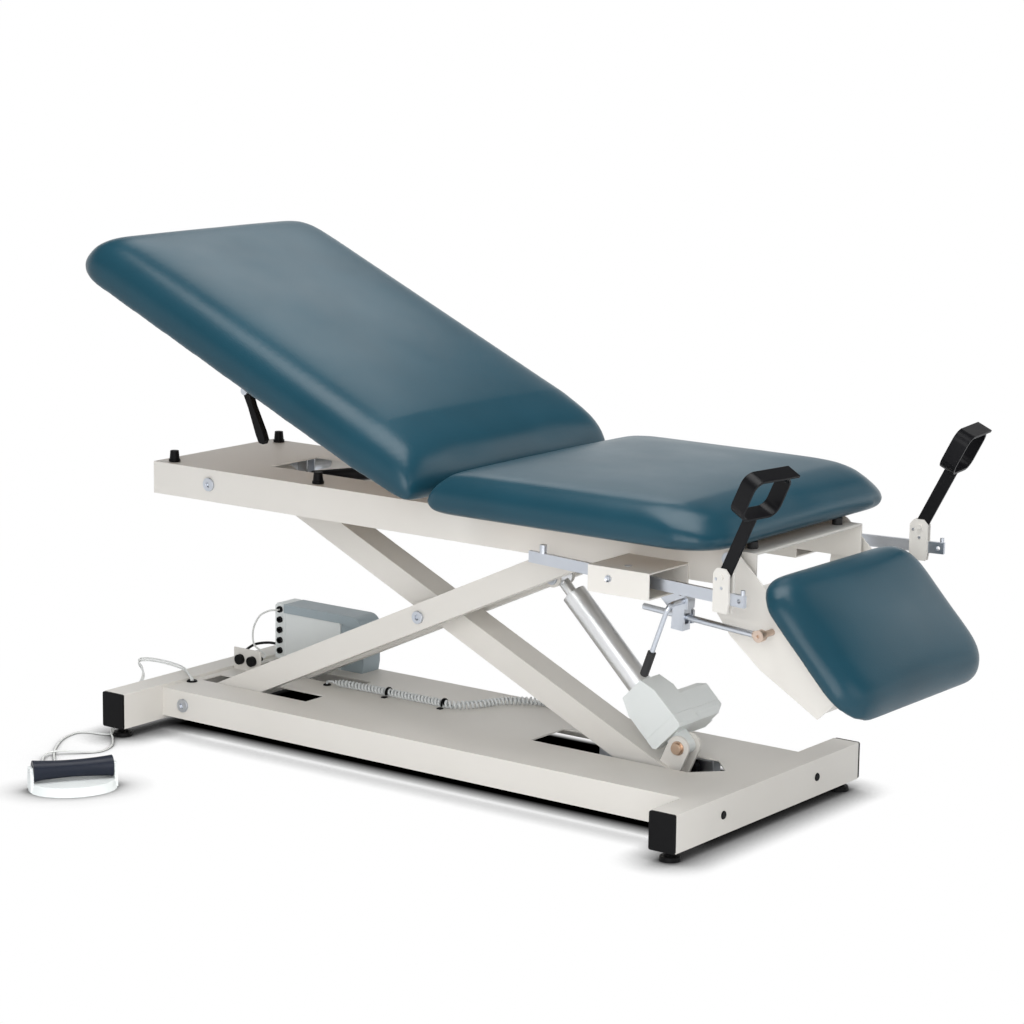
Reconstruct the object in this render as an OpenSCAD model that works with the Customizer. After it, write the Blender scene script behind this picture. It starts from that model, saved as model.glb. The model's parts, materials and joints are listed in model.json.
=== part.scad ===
// Medical exam table: scissor lift base, padded seat, raising backrest, folding leg section and stirrups.
// Millimetres, Z up, X towards the foot end, floor at Z = 0, origin on the floor under the base centre.

/* [Base] */
// length over the two crossbars
base_len = 1432; // [1300:2:1500]
// length of a crossbar over its end caps
crossbar_len = 660; // [560:10:760]
// width of the base pan
pan_w = 416; // [400:2:460]

/* [Lift] */
// angle of the legs as drawn
leg_angle = 24.8; // [24:0.1:25.6]
// leg centre to base pin
half_low = 598; // [590:1:606]
// leg centre to top pin
half_high = 534; // [526:1:542]

/* [Pads] */
// half width of the seat and backrest
pad_half = 343; // [300:1:360]
// half width of the leg section pad
leg_half = 260; // [240:1:300]
// thickness of the seat upholstery at its sides
seat_t = 71; // [60:1:74]
// thickness of the backrest upholstery at its sides
back_t = 86; // [70:1:88]
// thickness of the leg section upholstery at its sides
leg_t = 48; // [40:1:52]
// angle of the backrest as drawn
back_angle = 24; // [20:1:28]
// angle of the leg section as drawn
leg_rest_angle = 47; // [45:1:49]

/* [Stirrups] */
// how far the far stirrup is drawn out beyond the near one
far_out = 38; // [0:1:80]
// turn of the near foot loop on its arm
near_yaw = 0; // [-40:1:40]
// turn of the far foot loop on its arm
far_yaw = 0; // [-40:1:40]

/* [Cords] */
// number of curls in the motor cord
curls = 64; // [20:1:100]
// radius of the curled wire
wire_r = 2.5; // [1.5:0.1:2.8]

/* [Hidden] */
$fn = 40;

beige = [0.84, 0.81, 0.77];
black = [0.07, 0.07, 0.08];
zinc = [0.68, 0.71, 0.74];
vinyl = [0.17, 0.31, 0.39];
pale = [0.88, 0.89, 0.88];

half_len = base_len / 2;
bar_in = half_len - 57;
cap_y = crossbar_len / 2;
pan_y = pan_w / 2;
pin_x = -601;
pin_z = 60;
leg_len = half_low + half_high;
mid_x = pin_x + half_low * cos(leg_angle);
mid_z = pin_z + half_low * sin(leg_angle);
top_x = mid_x - half_high * cos(leg_angle);
top_z = mid_z + half_high * sin(leg_angle);
plate_z = 566;
hinge = [72, 0, 596];
knee = [734, 0, 552];
// lower actuator pin in the inner leg's own axes, and upper pin in the outer legs' axes
pin_low = [half_low + 3, 70.5];
pin_up = [890, -20];
act_low = [mid_x + pin_low[0] * cos(leg_angle) + pin_low[1] * sin(leg_angle),
    mid_z - pin_low[0] * sin(leg_angle) + pin_low[1] * cos(leg_angle)];
act_up = [pin_x + pin_up[0] * cos(leg_angle) - pin_up[1] * sin(leg_angle),
    pin_z + pin_up[0] * sin(leg_angle) + pin_up[1] * cos(leg_angle)];
// the actuator's tilt is a little off the line of its pins, which shares the play in its bore over the travel
act_tilt = atan2(act_up[1] - act_low[1], act_up[0] - act_low[0]) - 0.45;
gas_low = [-490, 522];
gas_pin = [90, -30];
gas_up = [hinge[0] - gas_pin[0] * cos(back_angle) + gas_pin[1] * sin(back_angle),
    hinge[2] + gas_pin[0] * sin(back_angle) + gas_pin[1] * cos(back_angle)];
gas_tilt = atan2(gas_up[1] - gas_low[1], gas_up[0] - gas_low[0]) - 0.25;
rod_eye = [829, 430];
swivel = [660, 440];
rod_drop = 4.3;
splay = 8.5;

// ends of the three pads along their own lengths, and the corner radii at those ends in plan
seat_x0 = 128;
seat_x1 = 790;
back_x0 = -28;
back_x1 = 928;
leg_x0 = 70;
leg_x1 = 392;
crease_r = 20;
seat_r = 100;
back_r = 64;
leg_r = 84;
leg_web = 26;
board_in = 40;
lever_pin = [449, -19];

// points of a rounded rectangle, corner by corner, with its own corner radius at each end
function round_rect(x0, x1, y0, y1, r0, r1, n) =
    [for (c = [[x1 - r1, y1 - r1, 0, r1], [x0 + r0, y1 - r0, 90, r0], [x0 + r0, y0 + r0, 180, r0],
        [x1 - r1, y0 + r1, 270, r1]])
        for (i = [0:n]) [c[0] + c[3] * cos(c[2] + 90 * i / n), c[1] + c[3] * sin(c[2] + 90 * i / n)]];

module box(x0, x1, y0, y1, z0, z1) translate([x0, y0, z0]) cube([x1 - x0, y1 - y0, z1 - z0]);
module bar_y(x, z, r, y0, y1) translate([x, y0, z]) rotate([-90, 0, 0]) cylinder(r = r, h = y1 - y0);
module slab_y(y0, y1) translate([0, y1, 0]) rotate([90, 0, 0]) linear_extrude(y1 - y0) children();
module both() {
    children();
    mirror([0, 1, 0]) children();
}
module on_outer() translate([pin_x, 0, pin_z]) rotate([0, -leg_angle, 0]) children();
module on_inner() translate([mid_x, 0, mid_z]) rotate([0, leg_angle, 0]) children();
module on_back() translate(hinge) rotate([0, back_angle, 0]) mirror([1, 0, 0]) children();
module on_leg() translate(knee) rotate([0, leg_rest_angle, 0]) children();
module on_act() translate([act_low[0], 0, act_low[1]]) rotate([0, -act_tilt, 0]) children();
module on_bar() translate([570, -282.4, 0]) rotate([0, 0, -splay]) children();

// cushion built ring by ring: underside recess for the board, drawn-in sides, rounded top edge and crown
// a step holds inset, height, waist and the further inset of the x0 and x1 ends
function ring(x0, x1, h, r0, r1, bow, step, n) =
    [for (p = round_rect(x0 + step[0] + step[3], x1 - step[0] - step[4], -h + step[0], h - step[0],
            max(r0 - step[0], 6), max(r1 - step[0], 6), n))
        let (side = p[1] / h, end = (2 * p[0] - x0 - x1) / (x1 - x0))
        let (w = step[2] * (1 - pow(abs(end), 4)), v = step[2] * (1 - pow(abs(side), 4)))
        let (out = step[0] == board_in ? 0 : bow * (1 - side * side) * pow(max(end, 0), 6))
        [p[0] - sign(end) * v * pow(abs(end), 6) + out,
            p[1] - sign(side) * w * pow(abs(side), 6), step[1]]];
module cushion(x0, x1, h, r0, r1, bow, steps) {
    n = 9;
    count = 4 * (n + 1);
    rings = [for (s = steps) ring(x0, x1, h, r0, r1, bow, s, n)];
    last = len(rings);
    pts = concat([for (k = rings) for (p = k) p],
        [[(x0 + x1) / 2, 0, steps[0][1]], [(x0 + x1) / 2, 0, steps[last - 1][1] + 1.5]]);
    sides = [for (k = [0:last - 2]) for (i = [0:count - 1]) let (j = (i + 1) % count)
        for (t = [[k * count + i, (k + 1) * count + j, k * count + j],
            [k * count + i, (k + 1) * count + i, (k + 1) * count + j]]) t];
    low = [for (i = [0:count - 1]) [last * count, i, (i + 1) % count]];
    high = [for (i = [0:count - 1])
        [last * count + 1, (last - 1) * count + (i + 1) % count, (last - 1) * count + i]];
    polyhedron(points = pts, faces = concat(low, sides, high));
}
// steps of a pad of thickness t with a board recess d deep; soft0 and soft1 round off its two ends further
function pad_steps(t, d, soft0, soft1) = [[board_in, d, 0, 0, 0], [board_in, 0, 0, 0, 0], [16, 0, 0, 0, 0],
    [6, 6, 1, 0, 0], [1, 16, 3, 0, 0], [0, t * 0.45, 5, soft0[0], soft1[0]],
    [4, t * 0.68, 5, soft0[1], soft1[1]],
    [13, t * 0.86, 3, soft0[2], soft1[2]], [28, t * 0.97, 1, soft0[3], soft1[3]],
    [60, t * 1.03, 0, soft0[4], soft1[4]], [120, t * 1.07, 0, soft0[4], soft1[5]]];
square_end = [0, 0, 0, 0, 0, 0];
// board under a pad, set into the pad's recess with a little play
module board(x0, x1, h, r0, r1, t) {
    gap = board_in + 0.4;
    linear_extrude(t) polygon(round_rect(x0 + gap, x1 - gap, -h + gap, h - gap,
        max(r0 - board_in, 6), max(r1 - board_in, 6), 9));
}

// smooth route through hand-chosen points, and a round tube swept along it
function spline(p, n) = concat([for (i = [0:len(p) - 2]) for (k = [0:n - 1])
    let (a = p[max(i - 1, 0)], b = p[i], c = p[i + 1], d = p[min(i + 2, len(p) - 1)], t = k / n)
    0.5 * (2 * b + (c - a) * t + (2 * a - 5 * b + 4 * c - d) * t * t + (3 * b - a - 3 * c + d) * t * t * t)],
    [p[len(p) - 1]]);
function unit(v) = v / norm(v);
function along(p, i) = unit(p[min(i + 1, len(p) - 1)] - p[max(i - 1, 0)]);
function across(u, t) = unit(u - t * (u * t));
module tube(p, r, sides, start) {
    last = len(p) - 1;
    us = [for (i = 0, u = across(start, along(p, 0)); i <= last;
        i = i + 1, u = across(u, along(p, min(i, last)))) u];
    pts = [for (i = [0:last]) let (t = along(p, i), u = us[i], w = cross(t, u)) for (k = [0:sides - 1])
        p[i] + r * (cos(360 * k / sides) * u + sin(360 * k / sides) * w)];
    walls = [for (i = [0:last - 1]) for (k = [0:sides - 1]) let (m = (k + 1) % sides)
        for (f = [[i * sides + k, (i + 1) * sides + m, i * sides + m],
            [i * sides + k, (i + 1) * sides + k, (i + 1) * sides + m]]) f];
    polyhedron(points = pts, faces = concat(walls,
        [[for (k = [0:sides - 1]) k]], [[for (k = [sides - 1:-1:0]) last * sides + k]]));
}

// motor cord: a route on the pan, with the wire curled round it
cord_route = spline([[-396, 28, 99], [-330, 33, 99], [-230, 35, 99], [-130, 35, 99], [-76, 38, 99],
    [-40, 78, 99], [-16, 130, 99], [30, 168, 99], [100, 182, 99]], 24);
cord_run = [for (i = 0, s = 0; i < len(cord_route);
    s = s + (i + 1 < len(cord_route) ? norm(cord_route[i + 1] - cord_route[i]) : 0), i = i + 1) s];
cord_total = cord_run[len(cord_run) - 1];
function route_at(s, i = 0) = i >= len(cord_run) - 2 || cord_run[i + 1] >= s ?
    let (f = (s - cord_run[i]) / (cord_run[i + 1] - cord_run[i]))
    [cord_route[i] + f * (cord_route[i + 1] - cord_route[i]), unit(cord_route[i + 1] - cord_route[i])] :
    route_at(s, i + 1);
coil_r = 6;
cord_curl = [for (i = [0:curls * 8])
    let (at = route_at(cord_total * i / (curls * 8)), side = unit(cross([0, 0, 1], at[1])))
    let (grow = min(1, i / 8, (curls * 8 - i) / 8), turn = 45 * i - 90)
    at[0] + coil_r * grow * (cos(turn) * side + sin(turn) * [0, 0, 1])];
cord_path = concat([[-406, 27, 91.2], [-406, 27, 96.4], [-402, 27.5, 98.6]], cord_curl,
    [[106, 183, 98.6], [110, 183.5, 96.4], [110, 183.5, 91.2]]);
// least gap of the wire to itself, looked for over the next three curls; later curls lie further off
cord_gap = min([for (i = [0:len(cord_path) - 7]) for (j = [i + 6:min(i + 24, len(cord_path) - 1)])
    norm(cord_path[j] - cord_path[i]) - 2 * wire_r]);
echo(least_gap = cord_gap);  // motor_cord

// twin lead over the head crossbar; the second wire lies beside or above the first
twin_route = [[-646, -130, 88], [-646, -130, 96], [-664, -122, 101], [-700, -100, 101], [-740, -94, 104],
    [-790, -98, 106], [-818, -108, 104], [-806, -126, 101], [-770, -154, 100], [-732, -190, 94],
    [-724, -228, 62], [-724, -262, 26], [-722, -290, 8]];
twin_shift = [[0, -5, 0], [0, -5, 0], [0, -3.6, 3.6], [0, 0, 5], [0, 0, 5], [0, 0, 5], [0, 0, 5], [0, 0, 5],
    [0, 0, 5], [-3.6, 0, 3.6], [-5, 0, 0], [-5, 0, 0], [-5, 0, 2]];

module head_crossbar() color(beige) difference() {
    box(-half_len, -bar_in, -cap_y + 6, cap_y - 6, 22, 96);
    box(-half_len + 3, -bar_in - 3, -cap_y, cap_y, 25, 93);
}
module foot_crossbar() color(beige) difference() {
    box(bar_in, half_len, -cap_y + 6, cap_y - 6, 22, 96);
    box(bar_in + 3, half_len - 3, -cap_y, cap_y, 25, 93);
    for (y = [-167, 167]) translate([half_len - 10, y, 60]) rotate([0, 90, 0]) cylinder(r = 6, h = 20);
}
// black pieces pushed into the crossbars: end caps with a spigot, and plugs in two holes
module crossbar_caps() color(black) {
    both() for (x = [-half_len + 28.5, half_len - 28.5]) translate([x, 0, 59]) {
        rotate([-90, 0, 0]) translate([0, 0, cap_y - 6])
            linear_extrude(6) polygon(round_rect(-28.5, 28.5, -37, 37, 4, 4, 3));
        box(-25.3, 25.3, cap_y - 26, cap_y - 6, -33.8, 33.8);
    }
    both() translate([half_len, 167, 60]) rotate([0, 90, 0]) {
        cylinder(r1 = 8.5, r2 = 7, h = 2.5);
        translate([0, 0, -8]) cylinder(r = 5.9, h = 8);
    }
}
module levelling_feet() color(black) both() for (x = [-half_len + 28.5, half_len - 28.5])
    translate([x, 300, 0]) {
        cylinder(r1 = 21, r2 = 19, h = 9);
        translate([0, 0, 9]) cylinder(r1 = 14, r2 = 8, h = 5);
        translate([0, 0, 14]) cylinder(r = 5, h = 3);
        translate([0, 0, 16]) cylinder(r = 10, h = 6, $fn = 6);
    }
module base_pan() color(beige) difference() {
    union() {
        box(-bar_in, bar_in, -pan_y, pan_y, 87, 90);
        both() box(-bar_in, bar_in, pan_y - 3, pan_y, 30, 88);
    }
    both() box(-640, -350, 46, 108, 80, 100);
    translate([0, 0, 80]) linear_extrude(20)
        polygon([[190, -56], [560, -56], [613, 0], [560, 56], [190, 56]]);
    bar_y(pin_x, pin_z, 10.02, -pan_y - 5, pan_y + 5);
    translate([-646, -132, 80]) cylinder(r = 9, h = 20);
    for (p = [[-406, 27], [110, 183.5]]) translate([p[0], p[1], 80]) cylinder(r = 6, h = 20);
}
module base_tracks() color(zinc) both() difference() {
    box(262, 548, 57, 83, 34.7, 87);
    box(250, 545, 50, 80, 37.7, 82.3);
}
// axle fixed in the base pan, with its spacer tubes
module base_axle() color(zinc) {
    bar_y(pin_x, pin_z, 10, -pan_y - 1, pan_y + 1);
    both() bar_y(pin_x, pin_z, 15, 103.4, pan_y - 3);
    bar_y(pin_x, pin_z, 15, -52.6, 52.6);
    both() difference() {
        bar_y(pin_x, pin_z, 14, pan_y, pan_y + 5);
        bar_y(pin_x, pin_z, 6, pan_y + 1.5, pan_y + 9, $fn = 6);
    }
}
// control box: pale case with a column of sockets at its head end, grey lid that turns down over the foot end
socket_x = -641;
socket_z = [for (k = [0:4]) 108 + 23 * k];
gland = [-655, 172, 112];
module control_case() color(pale) difference() {
    slab_y(146, 206) polygon([[-655, 90], [-470, 90], [-470, 194], [-628, 194], [-628, 211], [-633, 213],
        [-650, 213], [-655, 208]]);
    for (z = socket_z) bar_y(socket_x, z, 7, 140, 160);
    box(-626, -624.5, 140, 147.2, 90, 194);
}
module control_lid() color([0.6, 0.64, 0.66]) {
    slab_y(142, 207.5) polygon(concat([[-627.7, 194.3], [-469.7, 194.3]],
        [for (a = [0:15:90]) [-434 + 26 * cos(a), 187 + 26 * sin(a)]], [[-627.7, 213]]));
    slab_y(150, 206) polygon([[-469.7, 90], [-412, 90], [-408, 110], [-408, 190], [-412, 194.3],
        [-469.7, 194.3]]);
}
module control_sockets() color(black) {
    for (z = socket_z) difference() {
        bar_y(socket_x, z, 6.8, 141, 159.8);
        bar_y(socket_x, z, 3.6, 139, 150);
    }
    translate(gland) rotate([0, -90, 0]) difference() {
        cylinder(r1 = 7, r2 = 4.6, h = 9);
        translate([0, 0, -1]) cylinder(r = 3.7, h = 20);
    }
}
module connector_bracket() color(beige) difference() {
    union() {
        box(-656, -580, 12, 15, 90, 138);
        box(-656, -580, 12, 36, 90, 93);
    }
    for (x = [-636, -602]) bar_y(x, 114, 8, 0, 30);
}
module connector_plugs() color(black) for (x = [-636, -602]) {
    bar_y(x, 114, 7.8, 8, 30);
    bar_y(x, 114, 11, 2, 11.9);
    bar_y(x, 114, 5, 30, 40);
}
module motor_cord() color([0.72, 0.73, 0.73]) tube(cord_path, wire_r, 6, [1, 0, 0]);
// saddle clips over the curled cord, and the grommets that its ends and the twin lead pass through
module cord_clips() color(black) {
    for (c = [[-245, 35, 0], [-98, 35.5, 0]]) translate([c[0], c[1], 0]) difference() {
        union() {
            translate([-2, 0, 99]) rotate([0, 90, 0]) cylinder(r = 11.2, h = 4);
            box(-5, 5, -20, 20, 90, 92.5);
        }
        translate([-9, 0, 99]) rotate([0, 90, 0]) cylinder(r = 9.6, h = 18);
        box(-9, 9, -9.6, 9.6, 80, 99);
        box(-20, 20, -30, 30, 70, 90);
    }
    for (p = [[-406, 27], [110, 183.5]]) translate([p[0], p[1], 86]) difference() {
        union() {
            cylinder(r = 5.8, h = 4);
            translate([0, 0, 4]) cylinder(r1 = 9, r2 = 7, h = 3);
        }
        translate([0, 0, -1]) cylinder(r = 3.2, h = 20);
    }
    translate([-646, -132, 86]) difference() {
        union() {
            cylinder(r = 8.8, h = 4);
            translate([0, 0, 4]) cylinder(r1 = 12, r2 = 10, h = 3);
        }
        translate([0, 0, -1]) cylinder(r = 6.6, h = 20);
    }
}
module link_lead() color(black) tube(spline([gland, [-668, 171, 113], [-686, 158, 116], [-698, 130, 116],
    [-699, 104, 110], [-690, 84, 107], [-668, 76, 108], [-647, 70, 112], [-637, 57, 114],
    [-636, 40.2, 114]], 5), 3, 8, [0, 1, 0]);
module control_cord() color(pale) tube(spline([[socket_x, 150, socket_z[4]], [socket_x, 134, socket_z[4]],
    [-652, 122, 199], [-670, 112, 187], [-675, 98, 164], [-666, 84, 144], [-650, 72, 131], [-630, 66, 125],
    [-611, 61, 119], [-603, 52, 115], [-602, 40.2, 114]], 5), 2, 8, [1, 0, 0]);
module pedal_cord() color(pale) tube(spline(concat(twin_route, [[-708, -312, 2.4], [-722, -326, 2.1],
    [-752, -334, 2.1], [-770, -352, 2.1], [-760, -400, 2.1], [-726, -455, 2.1], [-690, -498, 2.1],
    [-640, -545, 2.1], [-580, -590, 2.4], [-536, -602, 6], [-517, -613, 9], [-498.4, -626, 9]]), 3),
    1.9, 8, [1, 0, 0]);
module pedal_cord_b() color(pale) tube(spline(concat(
    [for (i = [0:len(twin_route) - 1]) twin_route[i] + twin_shift[i]],
    [[-704, -318, 7], [-672, -346, 4], [-640, -384, 2.2], [-630, -428, 2.2], [-654, -462, 4],
    [-682, -490, 7], [-690, -520, 6], [-664, -556, 2.4], [-610, -596, 2.4], [-556, -618, 6],
    [-530.8, -633, 9], [-512, -646, 9]]), 3), 1.9, 8, [1, 0, 0]);
// foot control, turned towards the near side
module on_pedal() translate([-486, -649, 0]) rotate([0, 0, 55.7]) children();
module pedal_base() color(pale) on_pedal() difference() {
    union() {
        linear_extrude(18, scale = 0.94) polygon(concat([[-82, 26], [-86, 10]],
            [for (i = [0:12]) [-86 * cos(15 * i), -8 - 62 * sin(15 * i)]], [[86, 10], [82, 26]]));
        for (x = [-86, 79.6]) translate([x, 0, 0]) rotate([90, 0, 90]) linear_extrude(6.4)
            polygon([[-20, 2], [20, 2], [18, 34], [10, 48], [-10, 48], [-18, 34]]);
    }
    translate([-79.4, 0, 40]) rotate([0, 90, 0]) cylinder(r = 24, h = 158.8);
    translate([-90, 0, 40]) rotate([0, 90, 0]) cylinder(r = 4.05, h = 180);
    translate([12, 21.5, 9]) rotate([-90, 0, 0]) cylinder(r = 2.4, h = 12);
    translate([-12, 21.5, 9]) rotate([-90, 0, 0]) cylinder(r = 2.4, h = 12);
}
module pedal_roller() color([0.14, 0.17, 0.23]) on_pedal() translate([0, 0, 40]) rotate([0, 90, 0]) {
    rotate_extrude() polygon(concat([[0, -79]],
        [for (i = [0:12]) [17 + 4 * pow((i - 6) / 6, 2), -79 + 158 * i / 12]],
        [[0, 79]]));
    translate([0, 0, -85]) cylinder(r = 4, h = 170);
}
module outer_legs() color(beige) on_outer() difference() {
    union() {
        both() {
            difference() {
                union() {
                    box(0, leg_len, 53, 103, -26, 26);
                    for (s = [0, leg_len]) bar_y(s, 0, 26, 53, 103);
                }
                box(32, leg_len - 32, 56, 100, -23, 23);
            }
            bar_y(half_low, 0, 17, 54, 102);
            box(872, 908, 20, 26, -20, 6);
            bar_y(pin_up[0], pin_up[1], 18, 20, 26);
        }
        box(870, 910, -54, 54, 2, 25);
    }
    bar_y(0, 0, 10.05, -110, 110);
    bar_y(half_low, 0, 10.02, -110, 110);
    bar_y(leg_len, 0, 8.02, -110, 110);
    bar_y(pin_up[0], pin_up[1], 8.02, -40, 40);
}
// shaft of the upper rollers and the pin of the actuator's rod, both held by the outer legs
module upper_axle() color(zinc) on_outer() {
    bar_y(leg_len, 0, 8, -126.4, 126.4);
    both() bar_y(leg_len, 0, 11.5, 124.4, 126.4);
    both() bar_y(leg_len, 0, 11.5, 103, 107.6);
    bar_y(pin_up[0], pin_up[1], 8, -31, 31);
    both() bar_y(pin_up[0], pin_up[1], 12, 26, 31);
}
module centre_bolt() color(zinc) on_outer() {
    bar_y(half_low, 0, 10, -104, 104);
    both() difference() {
        bar_y(half_low, 0, 13, 103, 109);
        bar_y(half_low, 0, 6, 105, 112, $fn = 6);
    }
    both() bar_y(half_low, 0, 15, 34.4, 53);
}
module upper_rollers() color(black) on_outer() both() difference() {
    bar_y(leg_len, 0, 22, 108, 124);
    bar_y(leg_len, 0, 8.05, 100, 130);
}
module inner_leg() color(beige) on_inner() difference() {
    union() {
        difference() {
            union() {
                box(-half_high, half_low, -34, 34, -26, 26);
                for (s = [-half_high, half_low]) bar_y(s, 0, 26, -34, 34);
            }
            box(-half_high + 32, half_low - 32, -31, 31, -23, 23);
        }
        bar_y(0, 0, 17, -33, 33);
        both() {
            box(pin_low[0] - 24, pin_low[0] + 24, 17, 23, 10, pin_low[1]);
            bar_y(pin_low[0], pin_low[1], 24, 17, 23);
        }
    }
    bar_y(0, 0, 10.05, -40, 40);
    bar_y(-half_high, 0, 10.05, -40, 40);
    bar_y(half_low, 0, 8.02, -40, 40);
    bar_y(pin_low[0], pin_low[1], 8.02, -40, 40);
}
// shaft of the lower rollers and the actuator's bolt, both held by the inner leg
module lower_axle() color([0.72, 0.6, 0.5]) on_inner() {
    bar_y(half_low, 0, 8, -78.4, 78.4);
    both() bar_y(half_low, 0, 11.5, 76.4, 78.4);
    both() bar_y(half_low, 0, 11.5, 34, 59.6);
    bar_y(pin_low[0], pin_low[1], 8, -32, 32);
    both() bar_y(pin_low[0], pin_low[1], 14, 23, 25);
    both() bar_y(pin_low[0], pin_low[1], 11, 25, 32);
}
module lower_rollers() color(black) on_inner() both() difference() {
    bar_y(half_low, 0, 22, 60, 76);
    bar_y(half_low, 0, 8.05, 50, 90);
}
// actuator axes: X from the lower pin to the upper pin
parting = 51.5;
module gear_housing() color(pale) on_act() difference() {
    union() {
        slab_y(-33, 33) polygon([[26, -38], [32, -44], [112, -42], [146, -29], [146, 29], [112, 42], [32, 42],
            [26, 36]]);
        box(-2, 28, -16, 16, -16, 16);
        bar_y(0, 0, 16, -16, 16);
    }
    bar_y(0, 0, 8.05, -40, 40);
    translate([130, 0, 0]) rotate([0, 90, 0]) cylinder(r = 25.02, h = 40);
    // parting line of the two halves
    box(parting, parting + 1.2, -34, -32.2, -50, 50);
    box(parting, parting + 1.2, -34, 34, 41.2, 50);
    box(parting, parting + 1.2, -34, 34, -50, -42.6);
}
module motor_cover() color([0.8, 0.83, 0.84]) on_act() difference() {
    slab_y(33, 132) polygon([[30, -28], [42, -40], [92, -40], [104, -28], [104, 24], [92, 36],
        [42, 36], [30, 24]]);
    translate([30, 132, -60]) rotate([0, 0, 45]) cube([14, 14, 120], center = true);
    translate([104, 132, -60]) rotate([0, 0, 45]) cube([14, 14, 300], center = true);
    box(parting, parting + 1.2, 30, 140, 35.2, 50);
    box(parting, parting + 1.2, 30, 140, -50, -39.2);
    box(parting, parting + 1.2, 131.2, 140, -60, 60);
}
module actuator_tube() color(zinc) on_act() difference() {
    translate([130, 0, 0]) rotate([0, 90, 0]) cylinder(r = 25, h = 245);
    translate([136, 0, 0]) rotate([0, 90, 0]) cylinder(r = 22.5, h = 260);
}
module actuator_rod() color(zinc) translate([act_up[0], 0, act_up[1]]) rotate([0, -act_tilt, 0]) difference() {
    union() {
        bar_y(0, 0, 17, -18, 18);
        translate([-245, 0, 0]) rotate([0, 90, 0]) cylinder(r = 11.5, h = 240);
    }
    bar_y(0, 0, 8.05, -30, 30);
}
module top_pan() color(beige) difference() {
    union() {
        box(-699, 785, -188, 188, plate_z - 3, plate_z);
        both() box(-699, 785, 185, 188, 499, plate_z - 1);
        box(-699, -696, -188, 188, 499, plate_z - 1);
    }
    box(-475, 20, -75, 75, 550, 580);
    bar_y(top_x, top_z, 10.02, -200, 200);
    bar_y(knee[0], knee[2], 8.02, -200, 200);
}
module top_tracks() color(zinc) both() difference() {
    box(222, 478, 105, 131, top_z - 25.3, plate_z - 3);
    box(210, 475, 100, 128, top_z - 22.3, top_z + 22.3);
}
module top_axle() color(zinc) {
    bar_y(top_x, top_z, 10, -189, 189);
    both() bar_y(top_x, top_z, 15, 34.4, 185);
    both() difference() {
        bar_y(top_x, top_z, 14, 188, 193);
        bar_y(top_x, top_z, 6, 189.5, 199, $fn = 6);
    }
}
module back_bumpers() color(black) both() for (x = [-661, -269]) translate([x, 165, plate_z]) {
    cylinder(r = 12, h = 6);
    translate([0, 0, 6]) cylinder(r1 = 10.5, r2 = 9, h = 17.7);
}
module seat_spacers() color(beige) {
    for (x = [180, 620]) box(x, x + 40, -180, 180, plate_z, 580);
    both() translate([752, 150, plate_z]) cylinder(r = 10, h = 14);
}
module seat_board() color([0.5, 0.4, 0.3]) translate([0, 0, 580])
    board(seat_x0, seat_x1, pad_half, crease_r, seat_r, 9.8);
// the seat's foot edge falls away in a long curve
module seat_cushion() color(vinyl) translate([0, 0, 580])
    cushion(seat_x0, seat_x1, pad_half, crease_r, seat_r, 0,
    pad_steps(seat_t, 10, [0, 6, 8, 8, 8], [4, 26, 55, 72, 88, 80]));
// backrest hinge brackets with their pins, and the gas spring's anchor, on the top pan
module hinge_brackets() color(zinc) {
    both() {
        slab_y(160, 166) polygon([[50, plate_z], [94, plate_z], [82, 592], [62, 592]]);
        bar_y(hinge[0], hinge[2], 11, 160, 166);
        bar_y(hinge[0], hinge[2], 6, 160, 176);
    }
    for (y = [44, 68]) {
        box(gas_low[0] - 14, gas_low[0] + 12, y, y + 4, gas_low[1], plate_z - 3);
        bar_y(gas_low[0], gas_low[1], 11, y, y + 4);
    }
    bar_y(gas_low[0], gas_low[1], 5, 42, 74);
}
module stirrup_boxes() color(beige) both() difference() {
    box(505, 640, 188, 318, 480, 530);
    box(500, 650, 191, 315, 483, 527);
    translate([570, 282.4, 470]) cylinder(r = 7.05, h = 80);
}
module clamp_bracket() color(zinc) difference() {
    union() {
        slab_y(-225, -219) polygon([[588, 480], [640, 480], [676, 452], [676, 428], [650, 424]]);
        box(588, 640, -222, -196, 476, 480);
    }
    bar_y(swivel[0], swivel[1], 8.05, -240, -200);
}
module leg_hinge_bolts() color(zinc) both() {
    bar_y(knee[0], knee[2], 8, 182, 200.4);
    bar_y(knee[0], knee[2], 12, 188, 196.7);
    bar_y(knee[0], knee[2], 13, 200.4, 205.4);
}
// backrest axes: X from the hinge to the head end, Z out of the upholstery
module back_board() color([0.5, 0.4, 0.3]) on_back() difference() {
    translate([0, 0, -6]) board(back_x0, back_x1, pad_half, crease_r, back_r, 9.8);
    both() box(-40, 23, 154, 181, -20, 20);
}
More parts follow.
